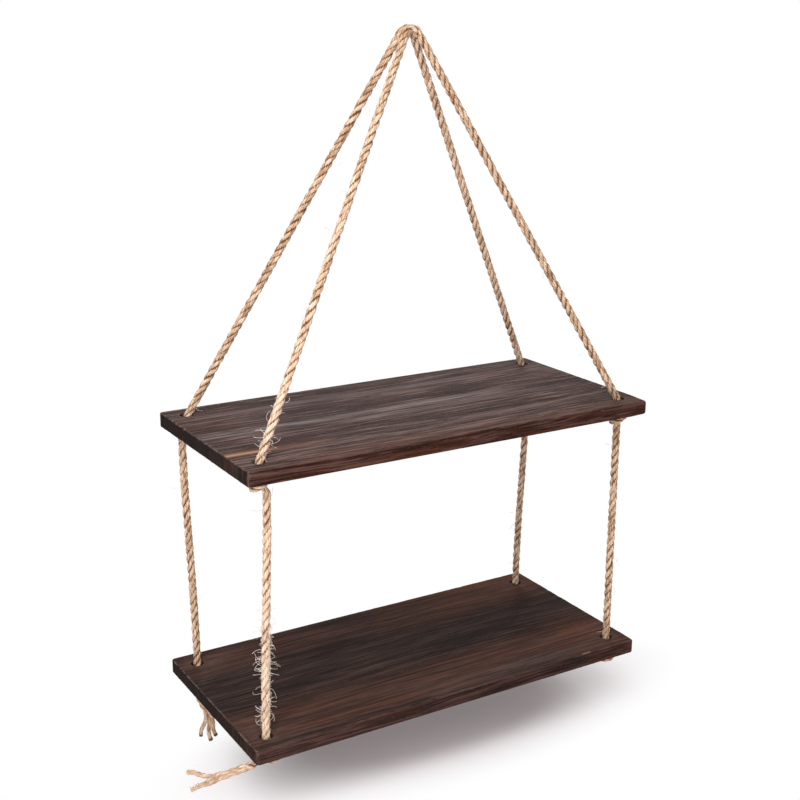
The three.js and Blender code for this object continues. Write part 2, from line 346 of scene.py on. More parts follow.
class Tree:
    """A node tree, and the one way in which its nodes are made."""

    def __init__(self, nodes):
        self.nodes = nodes

    def node(self, kind, settings=None, inputs=None, output=0):
        node = self.nodes.nodes.new(kind)
        for name, value in (settings or {}).items():
            if name == "stops":
                self.set_stops(node.color_ramp, value)
            else:
                setattr(node, name, value)
        for name, value in (inputs or {}).items():
            socket = node.inputs[name]
            if isinstance(value, Wire):
                self.nodes.links.new(value.output, socket)
            else:
                socket.default_value = value
        return Wire(self, node.outputs[output]) if node.outputs else node

    def set_stops(self, ramp, stops):
        while len(ramp.elements) < len(stops):
            ramp.elements.new(1.0)
        for element, (position, color) in zip(ramp.elements, stops):
            element.position = position
            element.color = color

    def math(self, operation, *operands):
        return self.node("ShaderNodeMath", {"operation": operation}, dict(enumerate(operands)))

    def vector(self, operation, *operands, output=0):
        settings = {"operation": operation}
        return self.node("ShaderNodeVectorMath", settings, dict(enumerate(operands)), output)

    def scaled(self, vector, scale):
        """A vector stretched by a number of its own along each axis."""
        return self.vector("MULTIPLY", vector, scale)

    def stretched(self, vector, number):
        """A vector stretched alike along all axes."""
        return self.node("ShaderNodeVectorMath", {"operation": "SCALE"}, {0: vector, "Scale": number})

    def combined(self, x, y, z):
        return self.node("ShaderNodeCombineXYZ", {}, {"X": x, "Y": y, "Z": z})

    def parts(self, vector):
        """A vector whose parts are read by name."""
        return self.node("ShaderNodeSeparateXYZ", {}, {"Vector": vector})

    def mix(self, factor, first, second, blend="MIX"):
        """A colour mix."""
        settings = {"data_type": "RGBA", "blend_type": blend}
        return self.node("ShaderNodeMix", settings, {0: factor, 6: first, 7: second}, output=2)

    def color_ramp(self, value, stops):
        return self.node("ShaderNodeValToRGB", {"stops": stops}, {"Fac": value})

    def ramp(self, value, low, high):
        """0 below low, 1 above high, smooth between."""
        return self.node("ShaderNodeMapRange", {"interpolation_type": "SMOOTHSTEP"},
                         {"Value": value, "From Min": low, "From Max": high})

    def noise(self, vector, scale, detail=4.0, roughness=0.55):
        return self.node("ShaderNodeTexNoise", {}, {
            "Vector": vector, "Scale": scale, "Detail": detail, "Roughness": roughness,
        })

    def attribute(self, name, output="Fac"):
        """What a mesh carries under a name, in a material."""
        return self.node("ShaderNodeAttribute", {"attribute_name": name})[output]

    def object_place(self):
        return self.node("ShaderNodeTexCoord", output="Object")

    def named(self, name, kind="FLOAT"):
        """What a mesh or curve carries under a name, in Geometry Nodes."""
        return self.node("GeometryNodeInputNamedAttribute", {"data_type": kind}, {"Name": name})

    def stored(self, geometry, name, value, kind="FLOAT"):
        """The geometry with a value stored under a name at each point."""
        return self.node("GeometryNodeStoreNamedAttribute", {"data_type": kind, "domain": "POINT"},
                         {"Geometry": geometry, "Name": name, "Value": value})

    def position(self):
        return self.node("GeometryNodeInputPosition")


def new_material(name):
    material = bpy.data.materials.new(name)
    material.use_nodes = True
    material.node_tree.nodes.clear()
    return material, Tree(material.node_tree)


def finish_material(tree, settings):
    """The shader with its inputs, wired to the output."""
    shader = tree.node("ShaderNodeBsdfPrincipled", {}, settings)
    tree.node("ShaderNodeOutputMaterial", {}, {"Surface": shader})


def bumped(tree, height, distance, strength):
    return tree.node("ShaderNodeBump", {}, {"Height": height, "Distance": distance, "Strength": strength})


def at_least(least, share):
    """A share that never falls below its least value."""
    return least + (1 - least) * share


# Stained wood

# Each board's stain, with a side colour that darkens the long sides as painted shade. Its patches are
# long:
# the middle and the reach across the board, the middle and the reach along it, and their strength
BOARD_STAINS = {
    "upper": {
        "shift": (0.31, 0.17, 0.05), "contrast": 1.0, "lines": 0.35,
        "deep": (0.026, 0.015, 0.013, 1), "middle": (0.069, 0.039, 0.035, 1),
        "light": (0.178, 0.118, 0.106, 1), "side": (0.52, 0.42, 0.38, 1),
        "warm_stain": (0.200, 0.078, 0.040, 1), "warm_share": 0.12, "warm_lines": 0.75,
        "dark": (),
        "warm": ((-0.052, 0.016, -0.165, 0.070, 1.0), (-0.090, 0.020, 0.030, 0.300, 0.6),
                 (0.045, 0.050, -0.190, 0.070, 0.25)),
        "silver": ((0.003, 0.008, -0.060, 0.210, 1.0), (-0.012, 0.008, 0.040, 0.160, 0.4),
                   (0.060, 0.010, -0.020, 0.200, 0.4)),
        "pale": ((-0.051, 0.005, -0.182, 0.034, 0.9),),
    },
    # The lower board has the upper one's finish; its darker deep, middle and light stains are painted
    # shade under the upper board
    "lower": {
        "shift": (1.73, 0.52, 0.21), "contrast": 0.85, "lines": 0.10,
        "deep": (0.014, 0.008, 0.007, 1), "middle": (0.035, 0.020, 0.017, 1),
        "light": (0.080, 0.045, 0.037, 1), "side": (0.95, 0.88, 0.90, 1),
        "warm_stain": (0.140, 0.055, 0.033, 1), "warm_share": 0.16, "warm_lines": 0.60,
        "dark": ((0.010, 0.024, 0.110, 0.200, 0.2), (0.000, 0.040, -0.130, 0.090, 0.2)),
        "warm": ((-0.060, 0.040, -0.020, 0.500, 1.0), (0.072, 0.030, -0.120, 0.120, 0.9),
                 (0.070, 0.050, 0.130, 0.180, 1.0), (0.080, 0.045, 0.170, 0.120, 1.0),
                 (-0.060, 0.060, 0.190, 0.060, 0.9)),
        "silver": ((-0.080, 0.012, 0.060, 0.120, 0.2),),
        "pale": ((-0.0934, 0.0010, 0.143, 0.006, 1.0),),
    },
}
DARK_BAND_GREY = (0.016, 0.012, 0.013, 1)
# Silvery grey of the fine grain lines and of the painted sheen
SILVER_GRAIN_AND_SHEEN = (0.230, 0.190, 0.188, 1)
SPECK = (0.330, 0.240, 0.225, 1)
PALE_STREAK = (0.400, 0.235, 0.160, 1)
END_STAIN = (0.009, 0.006, 0.005, 1)
END_BROWN = (0.060, 0.030, 0.022, 1)
WORN_WOOD = (0.260, 0.195, 0.175, 1)

# Layers of the grain, as noise drawn out along the board: its changes to a metre along and across,
# its detail and roughness, and the layer's weight in the tone
GRAIN = {
    "bands": (1.6, 42.0, 4.0, 0.6, 0.9),
    "streaks": (7.0, 270.0, 5.0, 0.65, 2.4),
    "dashes": (17.0, 520.0, 3.0, 0.6, 2.6),
    "fibres": (26.0, 900.0, 4.0, 0.65, 1.6),
}
GRAIN_WAVES = (4.0, 12.0, 2.0, 0.55)
WAVE_HEIGHT = (0.0, 0.016, 0.016)
WOOD_TONE = 0.42
WOOD_STOPS = (0.16, 0.50, 0.92)

# Marks that are cut out of the same kind of noise, and the levels at which they begin and are whole
MARKS = {
    "pores": (60.0, 1100.0, 2.0, 0.6, 0.60, 0.72),
    "fine_lines": (8.0, 480.0, 5.0, 0.7, 0.57, 0.70),
    "specks": (260.0, 1100.0, 2.0, 0.6, 0.60, 0.74),
    "drawn_lines": (5.0, 400.0, 5.0, 0.7, 0.40, 0.58),
    "warm_lines": (5.0, 240.0, 5.0, 0.7, 0.47, 0.66),
    "stray_warmth": (2.6, 60.0, 5.0, 0.6, 0.58, 0.74),
    "scratches": (28.0, 420.0, 3.0, 0.7, 0.70, 0.76),
    "worn_spots": (60.0, 160.0, 5.0, 0.75, 0.40, 0.62),
}
END_GRAIN = (40.0, 620.0, 45.0)
END_GRAIN_DETAIL = 3.0
END_GRAIN_EDGES = (0.42, 0.72)

# How strongly each layer covers what is under it, and what is left of it between its own marks
COVER = {"pores": 0.55, "stray_warmth": 0.8, "ends": 0.95, "wear": 0.55, "scratches": 0.6}
BETWEEN = {"silver": 0.10, "pale": 0.35, "ends": 0.25, "wear": 0.10}
SIDE_WEAR_LOSS = 0.7

# Where patches, long sides (their painted shade and lesser wear) and ends fade in: shares of a patch's
# reach, and distances from the edges
PATCH_SIDE = 0.25
PATCH_END = 0.5
SIDE_EDGES = (0.0016, 0.0004)
END_EDGES = (0.0012, 0.0002)
BROWN_END_REACH = -0.08

# The surface under the colour
WOOD_ROUGHNESS = 0.58
FIBRE_ROUGHNESS = 0.30
WOOD_GLOSS = 0.03
STREAK_RELIEF = 0.7
PORE_RELIEF = 0.3
WOOD_RELIEF = 0.0006
WOOD_RELIEF_STRENGTH = 0.6


class StainedWood:
    """The finish of one board, laid on in layers."""

    def __init__(self, name, stain):
        self.material, self.tree = new_material(name)
        self.stain = stain
        self.spot = self.tree.object_place()
        place = self.tree.parts(self.spot)
        self.across, self.lengthwise = place["Y"], place["X"]
        self.moved = self.tree.node("ShaderNodeMapping", {}, {
            "Vector": self.spot, "Location": stain["shift"],
        })
        waves = self.streaked(self.moved, *GRAIN_WAVES)["Color"]
        self.grain = self.tree.vector("MULTIPLY_ADD", waves, WAVE_HEIGHT, self.moved)
        self.layers = {kind: self.streaked(self.grain, *layer[:-1]) for kind, layer in GRAIN.items()}
        self.pores = self.marked("pores", self.grain)

    def streaked(self, place, along, across, detail, roughness):
        """Noise drawn out along the board."""
        return self.tree.noise(self.tree.scaled(place, (along, across, across)), 1.0, detail, roughness)

    def marked(self, kind, place):
        """1 on marks of one kind, 0 between them."""
        *layer, begin, whole = MARKS[kind]
        return self.tree.ramp(self.streaked(place, *layer), begin, whole)

    def near_edge(self, distance, half, edges):
        """1 at an edge of the board, 0 away from it."""
        return self.tree.ramp(abs(distance), half - edges[0], half - edges[1])

    def cover(self, share, color, blend="MIX"):
        self.color = self.tree.mix(share, self.color, color, blend)

    def cover_patches(self, kind, share, color):
        """The long patches of one kind."""
        for middle_y, reach_y, middle_x, reach_x, strength in self.stain[kind]:
            beside = self.tree.ramp(abs(self.across - middle_y), PATCH_SIDE * reach_y, reach_y)
            before = self.tree.ramp(abs(self.lengthwise - middle_x), PATCH_END * reach_x, reach_x)
            self.cover((1.0 - beside) * (1.0 - before) * strength * share, color)

    def lay_grain(self):
        marks = sum(GRAIN[kind][-1] * (layer - 0.5) for kind, layer in self.layers.items())
        stains = (self.stain["deep"], self.stain["middle"], self.stain["light"])
        tone = WOOD_TONE + marks * self.stain["contrast"]
        self.color = self.tree.color_ramp(tone, tuple(zip(WOOD_STOPS, stains)))

    def lay_streaks(self):
        """Fine pale lines and specks, silvery patches of painted sheen along the grain lines, dark bands,
        and warm and pale patches of streaks.
        """
        stain = self.stain
        self.cover(self.marked("fine_lines", self.grain) * stain["lines"], SILVER_GRAIN_AND_SHEEN)
        self.cover(self.marked("specks", self.moved) * stain["lines"], SPECK)
        drawn = self.marked("drawn_lines", self.grain)
        # Painted sheen: silvery patches along the drawn grain lines stand in for the sheen of the finish
        self.cover_patches("silver", at_least(BETWEEN["silver"], drawn), SILVER_GRAIN_AND_SHEEN)
        # Dark grey bands across the lower board
        self.cover_patches("dark", 1.0, DARK_BAND_GREY)
        warm = self.marked("warm_lines", self.grain)
        self.cover_patches("warm", stain["warm_share"] + stain["warm_lines"] * warm, stain["warm_stain"])
        stray = self.marked("stray_warmth", self.grain) * warm
        self.cover(stray * COVER["stray_warmth"], stain["warm_stain"])
        self.cover_patches("pale", at_least(BETWEEN["pale"], drawn), PALE_STREAK)
        self.cover(self.pores * COVER["pores"], END_STAIN)

    def lay_ends(self):
        """The dark end grain, a little browner towards the front."""
        end_noise = self.tree.noise(self.tree.scaled(self.moved, END_GRAIN), 1.0, END_GRAIN_DETAIL)
        lines = self.tree.ramp(end_noise, *END_GRAIN_EDGES)
        front = at_least(BETWEEN["ends"], self.tree.ramp(self.across, 0.0, BROWN_END_REACH))
        end_color = self.tree.mix(lines * front, END_STAIN, END_BROWN)
        end = self.near_edge(self.lengthwise, BOARD_LENGTH / 2, END_EDGES)
        self.cover(end * COVER["ends"], end_color)

    def lay_wear(self, side):
        """Wood that shows through on the arrises, less on the long sides, and in scratches."""
        spots = at_least(BETWEEN["wear"], self.marked("worn_spots", self.spot))
        wear = self.tree.attribute("wear") * spots * (1.0 - SIDE_WEAR_LOSS * side)
        self.cover(wear * COVER["wear"], WORN_WOOD)
        self.cover(self.marked("scratches", self.moved) * COVER["scratches"], WORN_WOOD)

    def finish(self):
        fibres = self.layers["fibres"]
        relief = fibres + self.layers["streaks"] * STREAK_RELIEF - self.pores * PORE_RELIEF
        finish_material(self.tree, {
            "Base Color": self.color,
            "Roughness": WOOD_ROUGHNESS + FIBRE_ROUGHNESS * fibres,
            "Specular IOR Level": WOOD_GLOSS,
            "Normal": bumped(self.tree, relief, WOOD_RELIEF, WOOD_RELIEF_STRENGTH),
        })
        return self.material


def stained_wood(name, stain):
    """Dark stained board: grain along its length, warm streaks and silvery painted sheen, painted shade on
    the long sides, dark ends, worn arrises.
    """
    wood = StainedWood(name, stain)
    wood.lay_grain()
    wood.lay_streaks()
    side = wood.near_edge(wood.across, BOARD_WIDTH / 2, SIDE_EDGES)
    # Painted shade: the long sides take the darker side colour
    wood.cover(side, stain["side"], "MULTIPLY")
    wood.lay_ends()
    wood.lay_wear(side)
    return wood.finish()


# Jute

# Jute colours; the groove colour is painted shade between the strands
JUTE_GROOVE_SHADE = (0.120, 0.054, 0.024, 1)
JUTE_BROWN = (0.330, 0.185, 0.098, 1)
JUTE_TAN = (0.590, 0.400, 0.262, 1)
JUTE_PALE = (0.820, 0.650, 0.510, 1)
SEALED_TIP = (0.060, 0.025, 0.012, 1)
HAIR_TAN = (0.74, 0.61, 0.50, 1)
HAIR_PALE = (0.95, 0.90, 0.85, 1)
JUTE_STOPS = ((0.05, JUTE_GROOVE_SHADE), (0.30, JUTE_BROWN), (0.55, JUTE_TAN), (0.88, JUTE_PALE))

# Layers of the fibres, as noise: its changes to a metre across and along the strand, its roughness,
# and the layer's weight in the tone
JUTE_LAYERS = {
    "fibres": (2200.0, 150.0, 0.65, 1.2),
    "tufts": (750.0, 150.0, 0.6, 1.3),
    "patches": (260.0, 38.0, 0.6, 0.9),
}
JUTE_DETAIL = 3.0
JUTE_TONE = 0.10
LIT_CREST_TONE = 0.47
YARN_SHADE_TONE = 0.04

# How far out of the rope the painted highlight on its crests begins and is whole, and the painted shade in
# its grooves ends
LIT_CREST_EDGES = (0.68, 0.94)
GROOVE_SHADE_EDGES = (0.66, 0.76)
GROOVE_SHADE_SHARE = 0.60

# The surface of the jute, and the spots of its hairs
JUTE_ROUGHNESS = 0.88
JUTE_GLOSS = 0.20
JUTE_SHEEN = 0.15
TUFT_RELIEF = 0.5
JUTE_RELIEF = 0.0003
JUTE_RELIEF_STRENGTH = 0.9
HAIR_ROUGHNESS = 0.7
HAIR_GLOSS = 0.3
HAIR_SPOT_SPACING = 220.0
HAIR_SPOT_DETAIL = 2.0
HAIR_SPOT_EDGES = (0.38, 0.62)


def jute(name):
    """Twisted jute: fine fibres along each strand, a painted highlight on the crests, painted shade in the
    grooves between the strands and between the yarns, sealed tips dark.
    """
    material, tree = new_material(name)
    spot = tree.attribute("strand_place", "Vector")
    place = tree.parts(spot)
    # Painted shade between the yarns round each strand, lighter on each yarn
    yarns = (place["Y"].math("ARCTAN2", place["X"]) * YARNS).math("COSINE")
    # Painted highlight on the strands' crests, painted shade in the grooves between them
    lit_crest = tree.ramp(tree.attribute("outward"), *LIT_CREST_EDGES)
    groove_shade = 1.0 - tree.ramp(tree.attribute("outward"), *GROOVE_SHADE_EDGES)
    # This attribute carries each corner's painted light and shade, and the real paleness of hairy rope
    tone = JUTE_TONE + LIT_CREST_TONE * lit_crest + YARN_SHADE_TONE * yarns + tree.attribute("paleness")
    layers = {}
    for kind, (across, along, roughness, weight) in JUTE_LAYERS.items():
        layers[kind] = tree.noise(tree.scaled(spot, (across, across, along)), 1.0, JUTE_DETAIL, roughness)
        tone = tone + weight * (layers[kind] - 0.5)
    color = tree.mix(GROOVE_SHADE_SHARE * groove_shade, tree.color_ramp(tone, JUTE_STOPS), JUTE_GROOVE_SHADE)
    relief = layers["fibres"] + layers["tufts"] * TUFT_RELIEF
    finish_material(tree, {
        "Base Color": tree.mix(tree.attribute("sealed"), color, SEALED_TIP),
        "Roughness": JUTE_ROUGHNESS,
        "Specular IOR Level": JUTE_GLOSS,
        "Sheen Weight": JUTE_SHEEN,
        "Normal": bumped(tree, relief, JUTE_RELIEF, JUTE_RELIEF_STRENGTH),
    })
    return material


def jute_hair(name):
    """Loose hairs, some of them paler."""
    material, tree = new_material(name)
    spots = tree.noise(tree.object_place(), HAIR_SPOT_SPACING, HAIR_SPOT_DETAIL)
    finish_material(tree, {
        "Base Color": tree.mix(tree.ramp(spots, *HAIR_SPOT_EDGES), HAIR_TAN, HAIR_PALE),
        "Roughness": HAIR_ROUGHNESS,
        "Specular IOR Level": HAIR_GLOSS,
    })
    return material


# Floor and light

# The floor's paint, tinted pink as painted warm bounce light from the wood, and the middle, the reach and
# the edges of the shadow that it keeps
FLOOR_PAINT_WITH_WARM_BOUNCE = (0.90, 0.82, 0.84, 1)
SHADOW_MIDDLE = (0.034, 0.002, 0.0)
SHADOW_REACH = (0.220, 0.081)
SHADOW_EDGES = (0.55, 1.45)
LEAST_WHITE = 0.02
PURE_WHITE = (1, 1, 1, 1)


def seen_as_white(tree):
    """1 for the rays that look straight, by a mirror or through glass at the backdrop."""
    path = tree.node("ShaderNodeLightPath")
    mirrored = path["Is Glossy Ray"].math("MAXIMUM", path["Is Transmission Ray"])
    return path["Is Camera Ray"].math("MAXIMUM", mirrored)


def floor_paint(name):
    """White floor that keeps the shadow and fades to the plain white background."""
    material, tree = new_material(name)
    from_middle = tree.vector("SUBTRACT", tree.object_place(), SHADOW_MIDDLE)
    reach_x, reach_y = SHADOW_REACH
    level = tree.scaled(from_middle, (1 / reach_x, 1 / reach_y, 0.0))
    distance = tree.vector("LENGTH", level, output="Value")
    fading = at_least(LEAST_WHITE, tree.ramp(distance, *SHADOW_EDGES))
    paint = tree.node("ShaderNodeBsdfDiffuse", {}, {"Color": FLOOR_PAINT_WITH_WARM_BOUNCE})
    white = tree.node("ShaderNodeEmission", {}, {"Color": PURE_WHITE, "Strength": 1.0})
    surface = tree.node("ShaderNodeMixShader", {}, {0: seen_as_white(tree) * fading, 1: paint, 2: white})
    tree.node("ShaderNodeOutputMaterial", {}, {"Surface": surface})
    return material


def lay_floor():
    half = FLOOR_SIZE / 2
    mesh = bpy.data.meshes.new("floor")
    corners = [(x * half, y * half, FLOOR_Z) for x, y in ((-1, -1), (1, -1), (1, 1), (-1, 1))]
    mesh.from_pydata(corners, [], [(0, 1, 2, 3)])
    mesh.materials.append(floor_paint("white_floor"))
    linked("floor", mesh)


def add_lamp(name, place, size, power):
    data = bpy.data.lights.new(name, "AREA")
    data.shape = "RECTANGLE"
    data.size, data.size_y = size
    data.energy = power
    lamp = linked(name, data)
    lamp.matrix_world = turn_towards(Vector(LAMP_TARGET) - Vector(place))
    lamp.location = place


def light_scene():
    world = bpy.data.worlds.new("studio")
    bpy.context.scene.world = world
    world.use_nodes = True
    world.node_tree.nodes.clear()
    tree = Tree(world.node_tree)
    backdrop = tree.node("ShaderNodeBackground", {}, {"Color": PURE_WHITE, "Strength": 1.0})
    ambient = tree.node("ShaderNodeBackground", {}, {"Color": PURE_WHITE, "Strength": AMBIENT_STRENGTH})
    surface = tree.node("ShaderNodeMixShader", {}, {0: seen_as_white(tree), 1: ambient, 2: backdrop})
    tree.node("ShaderNodeOutputWorld", {}, {"Surface": surface})
    for name, place, size, power in LAMPS:
        add_lamp(name, place, size, power)


# Routes of the ropes

def unit(vector):
    return vector / np.linalg.norm(vector)


def line(start, end):
    steps = max(2, int(np.linalg.norm(end - start) / LAY_STEP))
    share = np.linspace(0, 1, steps + 1)[:, None]
    return start + (end - start) * share


def bezier(*handles):
    """A smooth curve pulled towards its middle handles."""
    order = len(handles) - 1
    share = np.linspace(0, 1, CURVE_STEPS + 1)[:, None]
    points = 0
    for index, handle in enumerate(handles):
        weight = math.comb(order, index) * share ** index * (1 - share) ** (order - index)
        points = points + weight * handle
    return points


def lengths_along(points):
    return np.concatenate(([0], np.cumsum(np.linalg.norm(np.diff(points, axis=0), axis=1))))


def hole_point(corner, z):
    return np.array((corner["x"] * HOLE_X, corner["y"] * HOLE_Y, z))


def crown_and_leg(corner):
    """From the crown over the hanging point and down the slant to the upper board's hole."""
    crown = np.array((0, corner["y"] * CROWN_Y, ROPE_RADIUS))
    plane_foot = np.array((0, corner["y"] * HOLE_Y, UPPER_TOP - TURN_DEPTH))
    down = unit(plane_foot - crown)
    below_bend = np.linalg.norm(plane_foot - crown) - BEND_RADIUS
    reach = math.hypot(HOLE_X, below_bend)
    turn = math.atan2(below_bend, HOLE_X) - math.acos(BEND_RADIUS / reach) + math.pi / 2
    aside = np.array((corner["x"], 0, 0))
    angles = np.linspace(0, turn, TURN_STEPS + 1)[:, None]
    arc = crown + BEND_RADIUS * (np.sin(angles) * aside + (1 - np.cos(angles)) * down)
    foot = hole_point(corner, UPPER_TOP - TURN_DEPTH)
    slant = unit(foot - arc[-1])
    return arc, line(arc[-1], foot - TURN_REACH * slant), foot


def knot_loops(turn):
    """Three passes down the knot's middle with two rises round the outside."""
    share = np.linspace(0, 1, KNOT_STEPS + 1)
    swing = math.pi * (1 + 4 * share)
    angle = 2 * swing / 3 + turn
    radius = KNOT_RING_RADIUS + KNOT_SWING * np.cos(swing)
    return np.stack((radius * np.cos(angle), radius * np.sin(angle), KNOT_RISE * np.sin(swing)), axis=1)


def knot_route(tail, lean):
    """An overhand knot about its own middle, with its exit and the way in which the rope leaves it."""
    turn = math.radians(tail["turn"])
    loops = knot_loops(turn)
    down = np.array((0.0, 0, -1))
    out_angle = math.radians(KNOT_EXIT_ANGLE) + turn
    sideways = np.array((math.cos(out_angle), math.sin(out_angle), 0))
    if tail["side"]:
        out, end = sideways, KNOT_SIDE_REACH * sideways + KNOT_SIDE_DROP * down
    else:
        out, end = down, KNOT_ENTRY * down + lean
    top = np.array((0, 0, KNOT_ENTRY))
    start, start_way = loops[0], unit(loops[1] - loops[0])
    last, last_way = loops[-1], unit(loops[-1] - loops[-2])
    way_in = bezier(top, top + KNOT_HANDLE * down, start - KNOT_HANDLE * start_way, start)
    way_out = bezier(last, last + KNOT_HANDLE * last_way, end - KNOT_HANDLE * out, end)
    return np.concatenate((way_in[:-1], loops, way_out[1:])), end, out


class Route:
    """A rope's line down one side of the shelf, with the places where its stretches begin."""

    def __init__(self):
        self.points = np.zeros((0, 3))
        self.marks = {}

    def follow(self, points):
        fresh = points if not len(self.points) else points[1:]
        self.points = np.concatenate((self.points, fresh))

    def mark(self, name):
        self.marks[name] = lengths_along(self.points)[-1]


def slant_to_board(route, corner):
    """Over the hanging point, down the slant and round into the upper board's hole."""
    arc, slant, foot = crown_and_leg(corner)
    route.follow(arc)
    route.follow(slant)
    route.mark("slant_end")
    route.follow(bezier(slant[-1], foot, hole_point(corner, foot[2] - TURN_REACH)))


def tie_knot(route, level, middle, knot):
    """Straight down to a knot and through it."""
    route.follow(line(route.points[-1], middle + knot[0]))
    route.mark(f"{level}_knot")
    route.follow(middle + knot)
    route.mark(f"{level}_exit")


def rope_side(corner):
    """One side of a rope, from the crown to where its tail comes apart. Its upper knot is tied as
    over a hanging tail, because the rope goes straight on down."""
    route = Route()
    slant_to_board(route, corner)
    middle = hole_point(corner, UPPER_KNOT_Z)
    knot, end, _ = knot_route(HANGING_TAIL, corner["lean"] * np.array(LEAN_DIRECTION))
    tie_knot(route, "upper", middle, knot)
    pivot = middle + end - (0, 0, PIVOT_DROP)
    route.follow(line(middle + end, pivot))
    route.mark("upper_pivot")

    foot = hole_point(corner, LOWER_PIVOT_Z)
    route.follow(bezier(pivot, pivot - (0, 0, DROP_TOP_PULL), foot + (0, 0, DROP_FOOT_PULL), foot))
    route.mark("lower_pivot")

    middle = hole_point(corner, LOWER_KNOT_Z)
    knot, end, out = knot_route(corner["tail"], 0)
    tie_knot(route, "lower", middle, knot)
    start = middle + end + out * (TAIL_STUB + CLEARANCE)
    route.follow(line(middle + end, start))
    route.mark("tail")
    trunk_end = start + np.array(corner["tail"]["run"])
    bend = start + out * np.linalg.norm(trunk_end - start) / 2
    route.follow(bezier(start, bend, trunk_end))
    return route


def resampled(points):
    """Points at even steps along a line, and how far along it each is."""
    along = lengths_along(points)
    count = int(round(along[-1] / LAY_STEP))
    places = np.linspace(0, along[-1], count + 1)
    return np.stack([np.interp(places, along, points[:, axis]) for axis in range(3)], axis=1), places


def smoothed(points, rounds):
    for _ in range(rounds):
        inner = (points[:-2] + 2 * points[1:-1] + points[2:]) / 4
        points = np.concatenate((points[:1], inner, points[-1:]))
    return points


def carried_sides(points, first):
    """A direction square to the rope at each point, carried along without twist."""
    ways = np.gradient(points, axis=0)
    ways /= np.linalg.norm(ways, axis=1)[:, None]
    side = unit(first - ways[0] * np.dot(first, ways[0]))
    sides = [side]
    for way in ways[1:]:
        side = unit(side - way * np.dot(side, way))
        sides.append(side)
    return ways, np.array(sides)


class Rope:
    """One whole rope: both sides from the crown outwards, as one line with its lay."""

    def __init__(self, left, right):
        routes = {-1: rope_side(left), 1: rope_side(right)}
        self.marks = {}
        halves = {}
        for side, route in routes.items():
            halves[side], _ = resampled(route.points)
            scale = lengths_along(halves[side])[-1] / lengths_along(route.points)[-1]
            self.marks[side] = {name: place * scale for name, place in route.marks.items()}
        self.points = smoothed(np.concatenate((halves[-1][::-1], halves[1][1:])), ROPE_SMOOTHING)
        self.zero = len(halves[-1]) - 1
        along = lengths_along(self.points)
        self.along = along - along[self.zero]
        rearward = np.array((0.0, 1, 0))
        forward, forward_sides = carried_sides(self.points[self.zero:], rearward)
        back, back_sides = carried_sides(self.points[self.zero::-1], rearward)
        self.ways = np.concatenate((-back[::-1], forward[1:]))
        self.sides = np.concatenate((back_sides[::-1], forward_sides[1:]))
        self.thickness = self.knot_thickness()
        turns = np.concatenate(([0], np.cumsum(np.diff(along) / self.thickness[1:]))) / LAY_LENGTH
        drift = sum(np.sin(self.along / length + start) for length, start in DRIFT_WAVES)
        self.phase = 2 * math.pi * turns + LAY_DRIFT * drift
        # Painted light and shade: each side of the rope is painted paler or darker as its corner is lit,
        # eased into the other at the crown
        ends = (left["paleness"], right["paleness"])
        self.paleness = np.interp(self.along, (-PALENESS_EASE, PALENESS_EASE), ends)

    def knot_thickness(self):
        """1 on free rope, thinner where a knot squeezes it."""
        thickness = np.ones(len(self.along))
        for side, marks in self.marks.items():
            along = side * self.along
            for knot in ("upper", "lower"):
                inside = np.minimum(along - marks[f"{knot}_knot"], marks[f"{knot}_exit"] - along)
                share = np.clip(inside / KNOT_EASE, 0, 1)
                thickness -= (1 - KNOT_THINNING) * share * share * (3 - 2 * share)
        return thickness

    def index(self, side, length):
        return int(np.argmin(np.abs(self.along - side * length)))

    def part(self, first, last):
        """The points from one to another, and one more past each end that faces away from the crown."""
        start, stop = min(first, last), max(first, last) + 1
        return slice(start - int(start < self.zero), stop + int(stop > self.zero))

    def tucked_thickness(self, part):
        """The thickness of a part, less at the points that tuck into the next stretch."""
        thickness = self.thickness[part].copy()
        if part.start < self.zero:
            thickness[0] *= TUCKED
        if part.stop > self.zero:
            thickness[-1] *= TUCKED
        return thickness


# Geometry Nodes

def new_group(name, inputs):
    """A Geometry Nodes tree with its named inputs of each kind, and its one output."""
    tree = Tree(bpy.data.node_groups.new(name, "GeometryNodeTree"))
    sockets = tree.nodes.interface
    for kind, labels in inputs.items():
        for label in labels:
            sockets.new_socket(name=label, in_out="INPUT", socket_type=f"NodeSocket{kind}")
    sockets.new_socket(name="Geometry", in_out="OUTPUT", socket_type="NodeSocketGeometry")
    return tree, tree.node("NodeGroupInput")


def finish_group(tree, geometry, finish):
    """Real geometry in its finish, as what the tree gives."""
    geometry = tree.node("GeometryNodeRealizeInstances", {}, {"Geometry": geometry})
    geometry = tree.node("GeometryNodeSetMaterial", {}, {"Geometry": geometry, "Material": finish})
    tree.node("NodeGroupOutput", {}, {"Geometry": geometry})
    return tree.nodes


